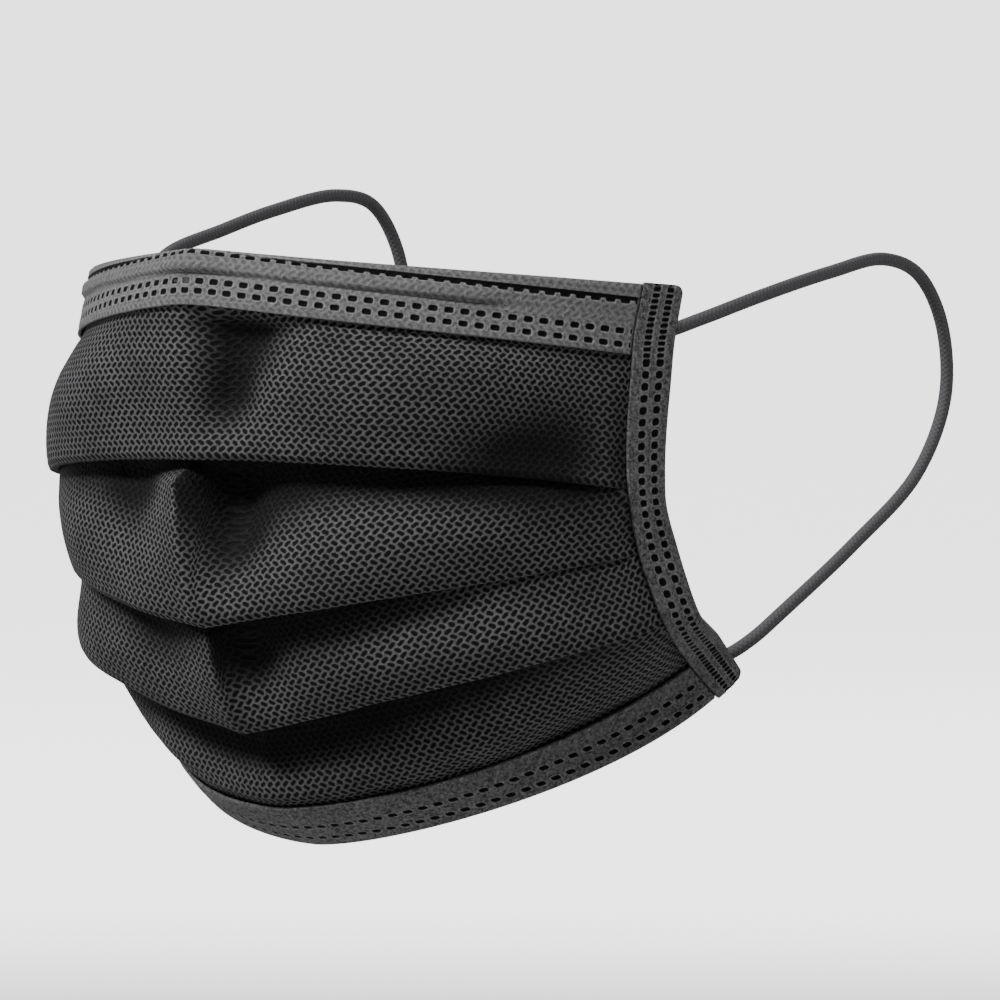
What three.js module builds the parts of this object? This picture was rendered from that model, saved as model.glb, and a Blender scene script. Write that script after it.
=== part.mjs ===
// Pleated disposable face mask with two ear loops, in the shape it has when worn.
// Millimetres, +Z up, the front of the mask faces -Y and X runs across the face. Left and
// right are those of somebody looking at its front, so left is -X.
// The origin is the middle of the top edge, where the mask sits on the bridge of the nose.
import * as THREE from 'three';
import { mergeVertices } from 'three/addons/utils/BufferGeometryUtils.js';

// ---- driving dimensions -------------------------------------------------------------
const HALF_WIDTH = 88;        // along the cloth, from the centre crease to the side edge
const WALL = 1.0;             // every layer of cloth
const FIT = 0.4;              // left between layers that lie on each other
const LAY = WALL + FIT;       // how deep the body lies under a hem or a binding
const BINDING_WIDTH = 8.2;    // side binding, seen from outside
const HEM_LEG_INSIDE = 5.0;   // how far each hem reaches down behind the body
const EDGE_RADIUS = 1.6;      // rounded corners of the side bindings
const WIRE_WIDTH = 4.0;       // nose wire, across the hem
const WIRE_THICKNESS = 0.8;
const WIRE_FROM_TOP = 3.0;    // top edge of the mask to the top edge of the wire
const WIRE_HALF_LENGTH = 50;
const CREASE_REACH = 9;       // how far the centre crease bends the cloth, sideways
const CORD_DIAMETER = 2.3;    // ear loop
const CORD_SIDES = 8;

// One row of the cloth across the face, from its centre to its side edge, for each edge
// and fold of the mask. y and z place its centre. It turns back round the face by `turn`
// degrees in all, `bend` says how late the turn comes, `crease` is the angle at the centre
// crease, and the row rises by `rise` on its way to the side, late where `late` is large.
const ROWS = [
  { name: 'top_edge',   y: -0.6, z: 0.2,    turn: 70, bend: 0.78, crease: 28, rise: -6.7, late: 0.96 },
  { name: 'top_hem',    y: -2.0, z: -9.6,   turn: 67, bend: 0.66, crease: 2,  rise: -9.4, late: 1.0 },
  { name: 'pleat_1',    y: 0.2,  z: -35.8,  turn: 84, bend: 1.3,  crease: 20, rise: -6.1, late: 1.8 },
  { name: 'pleat_2',    y: 2.8,  z: -64.7,  turn: 75, bend: 0.94, crease: 6,  rise: 13.8, late: 1.0 },
  { name: 'pleat_3',    y: 13.2, z: -83.1,  turn: 84, bend: 1.48, crease: 19, rise: 20.9, late: 1.11 },
  { name: 'bottom_hem', y: 22.8, z: -96.3,  turn: 76, bend: 0.76, crease: 0,  rise: 28.7, late: 1.67 },
  { name: 'bottom',     y: 35.0, z: -103.2, turn: 94, bend: 1.14, crease: 0,  rise: 29.9, late: 1.58 },
];

// The three pleats open downward. `row` is the fold that shows. Behind it the cloth turns
// back up by `tuck` and in by `depth`, at the centre and beside the binding, and comes down
// again to the next fold. `belly` is how far the cloth above the fold rounds out between
// two folds, halfway back to the side. The last entry is the plain cloth down to the hem.
const PLEATS = [
  { row: 2, tuckCentre: 4.6, tuckSide: 2.8, depthCentre: 3.6, depthSide: 2.5, belly: 1.6 },
  { row: 3, tuckCentre: 4.2, tuckSide: 2.6, depthCentre: 4.2, depthSide: 2.5, belly: 2.0 },
  { row: 4, tuckCentre: 4.2, tuckSide: 2.6, depthCentre: 5.0, depthSide: 2.5, belly: 0.8 },
];
const LAST_BELLY = 1.4;

// Soft hollows of the cloth: beside the nose, and beside the centre crease.
const DENTS = [
  { u: 19, v: 23, reachU: 8, reachV: 10, depth: 1.8 },
  { u: 13, v: 52, reachU: 6, reachV: 10, depth: 1.2 },
];

// Centre-line points of the ear loops, from the seat inside the upper corner to the lower one.
const LOOP_LEFT = [
  [-56.0, 50.9, -12.4], [-58.0, 56.0, -11.6], [-61.2, 61.8, -6.4], [-63.0, 68.5, -2.2],
  [-63.3, 84.0, 1.9], [-62.9, 98.0, 5.3], [-62.1, 114.0, 7.8], [-61.4, 123.2, 6.1],
  [-60.9, 129.4, -1.5], [-60.4, 131.9, -14.0], [-60.0, 131.4, -28.0], [-59.6, 123.5, -40.5],
  [-58.2, 108.5, -52.0], [-54.8, 93.0, -63.2], [-53.0, 87.0, -67.7], [-50.6, 85.0, -70.3],
  [-47.0, 81.6, -72.0], [-46.8, 75.8, -74.2],
];
const LOOP_RIGHT = [
  [56.3, 50.2, -15.2], [58.2, 55.2, -14.6], [61.2, 62.6, -12.2], [63.2, 76.6, -8.4],
  [63.2, 95.6, -4.6], [62.4, 112.0, -2.5], [61.5, 123.2, -5.6], [60.8, 130.4, -14.3],
  [60.1, 132.2, -26.5], [59.7, 125.0, -39.5], [58.2, 108.7, -51.8], [54.8, 93.0, -63.2],
  [52.8, 87.6, -67.5], [49.8, 84.9, -70.2], [46.5, 81.4, -72.1], [46.8, 75.8, -74.2],
];

// ---- the cloth as a surface ---------------------------------------------------------
const radians = (degrees) => (degrees * Math.PI) / 180;
const mix = (a, b, f) => a + (b - a) * f;
const clamp01 = (x) => Math.min(1, Math.max(0, x));
const smooth = (a, b, x) => {
  const f = clamp01((x - a) / (b - a));
  return f * f * (3 - 2 * f);
};

// A row walks out from its centre in steps of 1 mm of cloth, so every row of the sheet is
// equally long, and the heading of each step comes from the crease and the turn.
function walkRow(row) {
  const points = [new THREE.Vector3(0, row.y, row.z)];
  for (let i = 0; i < HALF_WIDTH; i += 1) {
    const t = (i + 0.5) / HALF_WIDTH;
    const rise0 = row.rise * (i / HALF_WIDTH) ** row.late;
    const rise1 = row.rise * ((i + 1) / HALF_WIDTH) ** row.late;
    const heading = radians(
      row.crease * Math.exp((-t * HALF_WIDTH) / CREASE_REACH) + row.turn * t ** row.bend,
    );
    const level = Math.sqrt(Math.max(1 - (rise1 - rise0) ** 2, 0.01));
    const last = points[i];
    points.push(new THREE.Vector3(
      last.x + level * Math.cos(heading),
      last.y + level * Math.sin(heading),
      row.z + rise1,
    ));
  }
  return points;
}
const WALKS = ROWS.map(walkRow);

// Point of a row, u millimetres from the centre; negative u is the other half of the face.
function rowPoint(index, u) {
  const walk = WALKS[index];
  const reach = Math.abs(u);
  const step = Math.min(Math.floor(reach), HALF_WIDTH - 1);
  const point = new THREE.Vector3().lerpVectors(walk[step], walk[step + 1], reach - step);
  if (u < 0) point.x = -point.x;
  return point;
}

// Cloth length from the top edge down to each row, at u.
function rowDistances(u) {
  const distances = [0];
  for (let i = 1; i < ROWS.length; i += 1) {
    distances.push(distances[i - 1] + rowPoint(i, u).distanceTo(rowPoint(i - 1, u)));
  }
  return distances;
}

// Smooth surface through the rows: u across, v down from the top edge.
function onSurface(u, v) {
  const at = rowDistances(u);
  const last = ROWS.length - 1;
  if (v <= 0) {
    const top = rowPoint(0, u);
    const down = rowPoint(1, u).sub(top).normalize();
    return top.addScaledVector(down, v);
  }
  if (v >= at[last]) {
    const end = rowPoint(last, u);
    const down = end.clone().sub(rowPoint(last - 1, u)).normalize();
    return end.addScaledVector(down, v - at[last]);
  }
  let i = 0;
  while (v > at[i + 1]) i += 1;
  const span = at[i + 1] - at[i];
  const f = (v - at[i]) / span;
  const p0 = rowPoint(i, u);
  const p1 = rowPoint(i + 1, u);
  const slope = (k) => {
    const lo = Math.max(k - 1, 0);
    const hi = Math.min(k + 1, last);
    return rowPoint(hi, u).sub(rowPoint(lo, u)).divideScalar(at[hi] - at[lo]);
  };
  const m0 = slope(i).multiplyScalar(span);
  const m1 = slope(i + 1).multiplyScalar(span);
  const f2 = f * f;
  const f3 = f2 * f;
  return p0.multiplyScalar(2 * f3 - 3 * f2 + 1)
    .addScaledVector(m0, f3 - 2 * f2 + f)
    .addScaledVector(p1, -2 * f3 + 3 * f2)
    .addScaledVector(m1, f3 - f2);
}

// Outward direction of the cloth, taken over 8 mm so that the crease stays smooth.
function outward(u, v) {
  const du = onSurface(u + 4, v).sub(onSurface(u - 4, v));
  const dv = onSurface(u, v + 1.5).sub(onSurface(u, v - 1.5));
  return du.cross(dv).normalize().negate();
}

const dentAt = (u, v) => DENTS.reduce((sum, d) => {
  const a = (Math.abs(u) - d.u) / d.reachU;
  const b = (v - d.v) / d.reachV;
  return sum + d.depth * Math.exp(-a * a - b * b);
}, 0);

// A place on the cloth: u across, v down, n out of the outer face.
function place(u, v, n) {
  return onSurface(u, v).addScaledVector(outward(u, v), n - dentAt(u, v));
}

// ---- closed solids ------------------------------------------------------------------
// Both faces of a layer whose middle line is `line`, a list of [a, n]: a WALL thick.
function thicken(line, wall) {
  const left = [];
  const right = [];
  for (let i = 0; i < line.length; i += 1) {
    const before = line[Math.max(i - 1, 0)];
    const after = line[Math.min(i + 1, line.length - 1)];
    const here = line[i];
    const inDir = new THREE.Vector2(here[0] - before[0], here[1] - before[1]).normalize();
    const outDir = new THREE.Vector2(after[0] - here[0], after[1] - here[1]).normalize();
    if (i === 0) inDir.copy(outDir);
    if (i === line.length - 1) outDir.copy(inDir);
    const mean = inDir.clone().add(outDir).normalize();
    const reach = wall / 2 / Math.max(Math.cos(inDir.angleTo(outDir) / 2), 0.5);
    left.push([here[0] - mean.y * reach, here[1] + mean.x * reach]);
    right.push([here[0] + mean.y * reach, here[1] - mean.x * reach]);
  }
  return [...left, ...right.reverse()];
}

// Skin over a row of equal rings of points, with its two ends closed. Each ring is the
// outline of a thin layer, so an end is closed by the strip between its two faces.
function loft(rings) {
  const size = rings[0].length;
  const half = size / 2;
  const positions = rings.flat().flatMap((p) => [p.x, p.y, p.z]);
  const index = [];
  for (let r = 0; r < rings.length - 1; r += 1) {
    for (let i = 0; i < size; i += 1) {
      const a = r * size + i;
      const b = r * size + ((i + 1) % size);
      index.push(a, b, b + size, a, b + size, a + size);
    }
  }
  const last = (rings.length - 1) * size;
  for (let i = 0; i < half - 1; i += 1) {
    const j = size - 1 - i;
    index.push(i, j, j - 1, i, j - 1, i + 1);
    index.push(last + i, last + j - 1, last + j, last + i, last + i + 1, last + j - 1);
  }
  const geometry = new THREE.BufferGeometry();
  geometry.setAttribute('position', new THREE.Float32BufferAttribute(positions, 3));
  geometry.setIndex(index);
  return facingOut(mergeVertices(geometry, 1e-4));
}

// Turns every face over if the solid came out inside out.
function facingOut(geometry) {
  const p = geometry.getAttribute('position');
  const index = geometry.getIndex().array;
  const a = new THREE.Vector3();
  const b = new THREE.Vector3();
  const c = new THREE.Vector3();
  let volume = 0;
  for (let i = 0; i < index.length; i += 3) {
    a.fromBufferAttribute(p, index[i]);
    b.fromBufferAttribute(p, index[i + 1]);
    c.fromBufferAttribute(p, index[i + 2]);
    volume += a.dot(b.cross(c)) / 6;
  }
  if (volume < 0) {
    for (let i = 0; i < index.length; i += 3) {
      const swap = index[i + 1];
      index[i + 1] = index[i + 2];
      index[i + 2] = swap;
    }
  }
  geometry.computeVertexNormals();
  return geometry;
}

const HALF_STATIONS = [2.5, 5, 9, 13.5, 18, 23, 28, 33, 38, 43, 48, 53, 58, 63, 68, 72, 76];
const mirrored = (half) => [...half.map((u) => -u).reverse(), 0, ...half];

// ---- the pleated body ---------------------------------------------------------------
// Middle line of the cloth at u: flat under the hems, and folded at each pleat. Toward the
// side bindings the folds close, and the layers lie pressed into one under the binding.
function bodyLine(u) {
  const at = rowDistances(u);
  const end = at[ROWS.length - 1];
  const side = smooth(6, 80, Math.abs(u));
  const pressed = smooth(66, 79, Math.abs(u));
  const round = smooth(8, 32, Math.abs(u)) * (1 - smooth(48, 72, Math.abs(u)));
  const under = -LAY - WALL / 2;
  const open = -WALL / 2;
  const line = [];
  const add = (v, n, flatV = v) => line.push([mix(v, flatV, pressed), mix(n, under, pressed)]);
  // Cloth between two folds: it starts `depth` under the fold above and rounds out.
  const addPanel = (v0, v1, flat0, flat1, depth, belly, places) => {
    for (const f of places) {
      const n = open - depth * (1 - smooth(0, 0.4, f)) + belly * round * Math.sin(Math.PI * f);
      add(mix(v0, v1, f), n, mix(flat0, flat1, f));
    }
  };
  const hemLow = at[1];
  for (const v of [LAY + FIT / 2, hemLow * 0.4, hemLow * 0.7]) add(v, under);
  add(hemLow + 0.6, under);
  let depth = LAY;
  let above = hemLow;
  let places = [0.14, 0.34, 0.56, 0.8];
  for (const pleat of PLEATS) {
    const lip = at[pleat.row];
    addPanel(above, lip, above + 1.6, lip - 2.4, depth, pleat.belly, places);
    const tuck = mix(pleat.tuckCentre, pleat.tuckSide, side);
    depth = mix(pleat.depthCentre, pleat.depthSide, side);
    add(lip - 0.1, open, lip - 1.6);
    add(lip - 0.4, open - 1.2, lip - 0.8);
    add(lip - tuck, open - depth, lip);
    add(lip - tuck + 0.4, open - depth - 1.2, lip + 0.8);
    above = lip;
    places = [0.05, 0.2, 0.42, 0.72];
  }
  const hemHigh = at[5];
  addPanel(above, hemHigh, above + 1.6, hemHigh, depth, LAST_BELLY, [0.05, 0.2, 0.42]);
  add(hemHigh - 3.2, open - 0.5);
  add(hemHigh - 0.6, under);
  add(mix(hemHigh, end, 0.5), under);
  add(end - LAY - FIT / 2, under);
  return line;
}

function buildBody() {
  const stations = mirrored([...HALF_STATIONS, 79.2, 83, HALF_WIDTH - LAY - FIT]);
  const rings = stations.map((u) => thicken(bodyLine(u), WALL).map(([v, n]) => place(u, v, n)));
  return loft(rings);
}

// ---- hems ---------------------------------------------------------------------------
// A hem is a band folded over the top or bottom edge. It ends just short of the bindings.
// Over the nose wire the upper hem stands out by the thickness of the wire.
function buildHem(lineAt) {
  const stations = mirrored([...HALF_STATIONS, HALF_WIDTH - BINDING_WIDTH - 0.5]);
  const rings = stations.map((u) => thicken(lineAt(u), WALL).map(([v, n]) => place(u, v, n)));
  return loft(rings);
}

const outerLeg = -WALL / 2;
const innerLeg = -LAY - WALL - FIT - WALL / 2;

function topHemLine(u) {
  const low = rowDistances(u)[1];
  const bulge = WIRE_THICKNESS + FIT;
  const overWire = outerLeg + bulge * (1 - smooth(WIRE_HALF_LENGTH + 0.5, WIRE_HALF_LENGTH + 8, Math.abs(u)));
  return [
    [low, outerLeg],
    [WIRE_FROM_TOP + WIRE_WIDTH + 2.2, outerLeg],
    [WIRE_FROM_TOP + WIRE_WIDTH + 0.9, overWire],
    [WIRE_FROM_TOP - 0.9, overWire],
    [0.9, outerLeg - 0.1],
    [0.5, outerLeg - 1.1],
    [0.7, innerLeg + 0.5],
    [1.5, innerLeg],
    [HEM_LEG_INSIDE, innerLeg],
  ];
}

function bottomHemLine(u) {
  const at = rowDistances(u);
  const end = at[ROWS.length - 1];
  return [
    [at[5], outerLeg],
    [mix(at[5], end, 0.5), outerLeg],
    [end - 0.9, outerLeg],
    [end - 0.5, outerLeg - 0.9],
    [end - 0.5, innerLeg + 0.9],
    [end - 0.9, innerLeg],
    [end - HEM_LEG_INSIDE, innerLeg],
  ];
}

// ---- nose wire ----------------------------------------------------------------------
function buildNoseWire() {
  const stations = mirrored([5, 9, 13.5, 18, 23, 28, 33, 38, 43, WIRE_HALF_LENGTH]);
  const low = -LAY + FIT;
  const high = low + WIRE_THICKNESS;
  const top = WIRE_FROM_TOP;
  const bottom = WIRE_FROM_TOP + WIRE_WIDTH;
  const rings = stations.map((u) => [
    place(u, top, low), place(u, bottom, low), place(u, bottom, high), place(u, top, high),
  ]);
  return loft(rings);
}

// ---- side bindings ------------------------------------------------------------------
// A strip folded over the side edge, from the top of the mask to its bottom.
function buildBinding(sign) {
  const inner = HALF_WIDTH - BINDING_WIDTH;
  const total = rowDistances(HALF_WIDTH)[ROWS.length - 1];
  const downs = [0, 0.5, 1.6];
  for (let i = 1; i < 22; i += 1) downs.push(mix(1.6, total - 1.6, i / 22));
  downs.push(total - 1.6, total - 0.5, total);
  const rings = downs.map((down) => {
    const near = Math.min(down, total - down);
    const k = Math.max(EDGE_RADIUS - near, 0);
    const round = EDGE_RADIUS - Math.sqrt(EDGE_RADIUS ** 2 - k ** 2);
    const fold = HALF_WIDTH - WALL / 2 - round;
    const line = [
      [inner, outerLeg], [mix(inner, fold, 0.5), outerLeg], [fold - 0.3, outerLeg],
      [fold, outerLeg - 0.5], [fold, innerLeg + 0.5],
      [fold - 0.3, innerLeg], [mix(inner, fold, 0.5), innerLeg], [inner, innerLeg],
    ];
    return thicken(line, WALL).map(([u, n]) => {
      const scale = rowDistances(u)[ROWS.length - 1] / total;
      return place(sign * u, down * scale, n);
    });
  });
  return loft(rings);
}

// ---- ear loops ----------------------------------------------------------------------
function buildLoop(route) {
  const points = route.map(([x, y, z]) => new THREE.Vector3(x, y, z));
  const curve = new THREE.CatmullRomCurve3(points, false, 'centripetal');
  const section = new THREE.Shape();
  for (let i = 0; i < CORD_SIDES; i += 1) {
    const angle = (2 * Math.PI * (i + 0.5)) / CORD_SIDES;
    const x = (CORD_DIAMETER / 2) * Math.cos(angle);
    const y = (CORD_DIAMETER / 2) * Math.sin(angle);
    if (i === 0) section.moveTo(x, y);
    else section.lineTo(x, y);
  }
  section.closePath();
  const steps = Math.round(curve.getLength() / (2.4 * CORD_DIAMETER));
  const geometry = new THREE.ExtrudeGeometry(section, { steps, bevelEnabled: false, extrudePath: curve });
  geometry.deleteAttribute('normal');
  geometry.deleteAttribute('uv');
  return facingOut(mergeVertices(geometry, 1e-4));
}

// ---- the mask -----------------------------------------------------------------------
const CLOTH = { color: 0x1d1d1e, roughness: 0.95, metalness: 0 };
const EDGING = { color: 0x565656, roughness: 0.92, metalness: 0 };
const ELASTIC = { color: 0x48484a, roughness: 0.9, metalness: 0 };
const WIRE = { color: 0x2a2a2b, roughness: 0.6, metalness: 0 };

const mask = new THREE.Group();
const PIECES = [
  { name: 'mask_body', geometry: buildBody(), look: CLOTH },
  { name: 'top_hem', geometry: buildHem(topHemLine), look: EDGING },
  { name: 'nose_wire', geometry: buildNoseWire(), look: WIRE },
  { name: 'bottom_hem', geometry: buildHem(bottomHemLine), look: EDGING },
  { name: 'side_binding_left', geometry: buildBinding(-1), look: EDGING },
  { name: 'side_binding_right', geometry: buildBinding(1), look: EDGING },
  { name: 'ear_loop_left', geometry: buildLoop(LOOP_LEFT), look: ELASTIC },
  { name: 'ear_loop_right', geometry: buildLoop(LOOP_RIGHT), look: ELASTIC },
];
for (const { name, geometry, look } of PIECES) {
  const piece = new THREE.Mesh(geometry, new THREE.MeshStandardMaterial(look));
  piece.name = name;
  mask.add(piece);
}

export default mask;
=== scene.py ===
"""Looks of a black pleated face mask in its worn shape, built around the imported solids."""

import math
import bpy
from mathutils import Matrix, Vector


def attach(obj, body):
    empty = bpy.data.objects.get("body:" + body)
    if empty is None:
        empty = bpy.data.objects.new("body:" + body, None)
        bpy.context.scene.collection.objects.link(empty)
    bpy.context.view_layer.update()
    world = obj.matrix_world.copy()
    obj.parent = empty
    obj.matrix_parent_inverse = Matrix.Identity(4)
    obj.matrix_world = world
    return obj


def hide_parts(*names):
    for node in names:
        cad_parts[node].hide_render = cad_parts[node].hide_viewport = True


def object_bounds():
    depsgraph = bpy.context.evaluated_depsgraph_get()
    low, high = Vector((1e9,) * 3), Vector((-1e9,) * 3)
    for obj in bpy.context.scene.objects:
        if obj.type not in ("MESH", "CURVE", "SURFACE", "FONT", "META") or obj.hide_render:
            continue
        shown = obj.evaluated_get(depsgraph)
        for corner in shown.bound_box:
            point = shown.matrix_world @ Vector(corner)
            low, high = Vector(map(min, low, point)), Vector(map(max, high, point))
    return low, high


bl_info = {
    "name": "Pleated face mask",
    "version": (1, 0, 0),
    "blender": (4, 5, 0),
    "location": "View3D > Sidebar > Mask",
    "description": "Builds the cloth, bands, welds and ear loops of a pleated face mask",
    "category": "Object",
}

import bpy
import numpy as np
from mathutils import Vector

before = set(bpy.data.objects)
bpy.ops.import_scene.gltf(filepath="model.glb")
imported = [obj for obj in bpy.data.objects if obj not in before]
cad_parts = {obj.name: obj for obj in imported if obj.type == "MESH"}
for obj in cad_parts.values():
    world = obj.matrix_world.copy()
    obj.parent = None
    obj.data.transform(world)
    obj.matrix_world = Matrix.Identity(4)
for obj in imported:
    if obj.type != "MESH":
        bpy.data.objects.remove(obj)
CAD_BOX = [list(corner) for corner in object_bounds()]
MM = 0.001

# ---- the cloth as a surface, in millimetres ------------------------------------------
HALF_WIDTH = 88.0      # along the cloth, from the centre crease to the side edge
WALK = 0.25            # step of a walk along a row
CREASE_REACH = 9.0     # how far the centre crease bends the cloth, sideways
# y, z, turn, bend, crease, rise, late of each row, as in the solids, and over how many mm
# its crease is rounded: top edge, lower edge of the upper hem, three pleat folds, upper edge
# of the lower hem, bottom edge.
ROWS = np.array([
    (-0.6, 0.2, 70, 0.78, 28, -6.7, 0.96, 2.5),
    (-2.0, -9.6, 67, 0.66, 2, -9.4, 1.0, 2.5),
    (0.2, -35.8, 84, 1.3, 20, -6.1, 1.8, 3.0),
    (2.8, -64.7, 75, 0.94, 6, 13.8, 1.0, 1.6),
    (13.2, -83.1, 84, 1.48, 19, 20.9, 1.11, 1.6),
    (22.8, -96.3, 76, 0.76, 0, 28.7, 1.67, 3.0),
    (35.0, -103.2, 94, 1.14, 0, 29.9, 1.58, 3.0),
])
# Soft hollows of the cloth: u, v, reach along u, reach along v, depth.
HOLLOWS = ((58, 16, 20, 6, -1.4), (60, 31, 17, 12, 4.6), (13, 52, 6, 10, 0.8))
# Pleats: row of the fold, tuck at the centre and side, depth at the centre and side, distance
# from the centre at which the one starts and ends to turn into the other, share of the next
# panel over which the depth runs out, belly of the panel above.
PLEATS = (
    (2, 4.6, 2.8, 4.4, 0.9, 24, 84, 0.7, 2.2),
    (3, 4.2, 2.6, 4.6, 0.8, 14, 64, 0.8, 1.0),
    (4, 4.2, 2.6, 6.2, 1.0, 30, 80, 0.9, 0.8),
)
LAST_BELLY = 1.4
# Standing folds at the centre: row above the panel, height, lean toward -X, valley beside it.
CENTRE_FOLDS = ((2, 6.6, 4.6, 4.2), (3, 3.6, 1.8, 3.0))
NOSE_VALLEY = 3.6      # valley beside the crease of the first panel
# Share of the half width over which the rows that fall to the sides turn level at the centre.
EASE = 0.06

# Centre lines of the ear loops, from the seat inside the upper corner to the lower one.
LOOP_LEFT = (
    (-56.0, 50.9, -12.4), (-58.0, 56.0, -11.6), (-61.2, 61.8, -6.4), (-63.0, 68.5, -2.2),
    (-63.3, 84.0, 1.9), (-62.9, 98.0, 5.3), (-62.1, 114.0, 7.8), (-61.4, 123.2, 6.1),
    (-60.9, 129.4, -1.5), (-60.4, 131.9, -14.0), (-60.0, 131.4, -28.0), (-59.6, 123.5, -40.5),
    (-58.2, 108.5, -52.0), (-54.8, 93.0, -63.2), (-53.0, 87.0, -67.7), (-50.6, 85.0, -70.3),
    (-47.0, 81.6, -72.0), (-46.8, 75.8, -74.2),
)
LOOP_RIGHT = (
    (56.3, 50.2, -15.2), (58.2, 55.2, -14.6), (61.2, 62.6, -12.2), (63.2, 76.6, -8.4),
    (63.2, 95.6, -4.6), (62.4, 112.0, -2.5), (61.5, 123.2, -5.6), (60.8, 130.4, -14.3),
    (60.1, 132.2, -26.5), (59.7, 125.0, -39.5), (58.2, 108.7, -51.8), (54.8, 93.0, -63.2),
    (52.8, 87.6, -67.5), (49.8, 84.9, -70.2), (46.5, 81.4, -72.1), (46.8, 75.8, -74.2),
)


def smooth(a, b, x):
    """Eased step: 0 at a, 1 at b, 3f^2 - 2f^3 between."""
    f = np.clip((x - a) / (b - a), 0, 1)
    return f * f * (3 - 2 * f)


def unit(vectors):
    """Vectors divided by their own length."""
    return vectors / np.maximum(np.linalg.norm(vectors, axis=-1, keepdims=True), 1e-9)


def walk_rows():
    """Each row as points: steps of WALK mm whose heading is crease * exp(-distance / reach)
    * tanh(distance / soft) plus turn * share ^ bend degrees, rising by rise * share ^ late.
    What the rounding takes off the tip sets the centre back, so the sides stay in place."""
    y, z, turn, bend, crease, rise, late, soft = ROWS.T[:, :, None]
    count = int(HALF_WIDTH / WALK)
    edge = np.arange(count + 1) / count
    share = (edge[:-1] + edge[1:]) / 2
    away = share * HALF_WIDTH
    sharp = crease * np.exp(-away / CREASE_REACH)
    heading = np.radians(sharp * np.tanh(away / soft) + turn * share ** bend)
    ease = np.where(rise < 0, EASE, 0.001)
    eased = (np.hypot(edge, ease) - ease) / (np.hypot(1, ease) - ease)
    up = rise * eased ** late
    level = np.sqrt(np.maximum(WALK ** 2 - np.diff(up, axis=1) ** 2, 0.01 * WALK ** 2))
    start = np.zeros((len(ROWS), 1))
    x = np.concatenate([start, np.cumsum(level * np.cos(heading), axis=1)], axis=1)
    back = np.concatenate([start, np.cumsum(level * np.sin(heading), axis=1)], axis=1)
    lost = (level * (np.sin(np.radians(sharp + turn * share ** bend)) - np.sin(heading))).sum(1)
    return np.stack([x, y + back + lost[:, None], z + up], axis=-1)


WALKS = walk_rows()


def row_points(u):
    """Point of every row at u mm from the centre, straight between the steps of the walks."""
    reach = np.abs(u) / WALK
    step = np.minimum(reach.astype(int), WALKS.shape[1] - 2)
    f = (reach - step)[..., None]
    points = WALKS[:, step] * (1 - f) + WALKS[:, step + 1] * f
    points[..., 0] *= np.where(u < 0, -1, 1)
    return points


def row_distances(u):
    """Cloth length from the top edge down to each row, at u."""
    gaps = np.linalg.norm(np.diff(row_points(u), axis=0), axis=-1)
    return np.concatenate([np.zeros((1,) + gaps.shape[1:]), np.cumsum(gaps, axis=0)])


def on_surface(u, v):
    """Hermite curve down through the rows at each u, with slopes taken over the two rows
    beside, and straight on past the first and last row."""
    u, v = np.broadcast_arrays(np.asarray(u, float), np.asarray(v, float))
    rows, at = row_points(u), row_distances(u)
    low = np.maximum(np.arange(len(ROWS)) - 1, 0)
    high = np.minimum(np.arange(len(ROWS)) + 1, len(ROWS) - 1)
    slopes = (rows[high] - rows[low]) / (at[high] - at[low])[..., None]
    i = np.clip((v[None] > at[1:]).sum(axis=0), 0, len(ROWS) - 2)[None]
    at0, at1 = (np.take_along_axis(at, i + k, 0)[0] for k in (0, 1))
    p0, p1 = (np.take_along_axis(rows, (i + k)[..., None], 0)[0] for k in (0, 1))
    m0, m1 = (np.take_along_axis(slopes, (i + k)[..., None], 0)[0] for k in (0, 1))
    span = (at1 - at0)[..., None]
    f = np.clip((v - at0) / (at1 - at0), 0, 1)[..., None]
    curve = ((2 * f ** 3 - 3 * f ** 2 + 1) * p0 + (f ** 3 - 2 * f ** 2 + f) * span * m0
             + (3 * f ** 2 - 2 * f ** 3) * p1 + (f ** 3 - f ** 2) * span * m1)
    past = np.minimum(v, 0) + np.maximum(v - at[-1], 0)
    return curve + unit(p1 - p0) * past[..., None]


def outward(u, v):
    """Outward direction of the cloth, taken over 8 mm so that the crease stays smooth."""
    du = on_surface(u + 4, v) - on_surface(u - 4, v)
    dv = on_surface(u, v + 1.5) - on_surface(u, v - 1.5)
    return -unit(np.cross(du, dv))


def hollow(u, v):
    """Depth of the worn-in hollows: a Gaussian each."""
    return sum(
        depth * np.exp(-((u - cu) / ru) ** 2 - ((v - cv) / rv) ** 2)
        for cu, cv, ru, rv, depth in HOLLOWS
    )


def place(u, v, n):
    """Point on the cloth, u across, v down and n out of the outer face, less the hollows."""
    return on_surface(u, v) + outward(u, v) * (n - hollow(u, v))[..., None]


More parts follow.
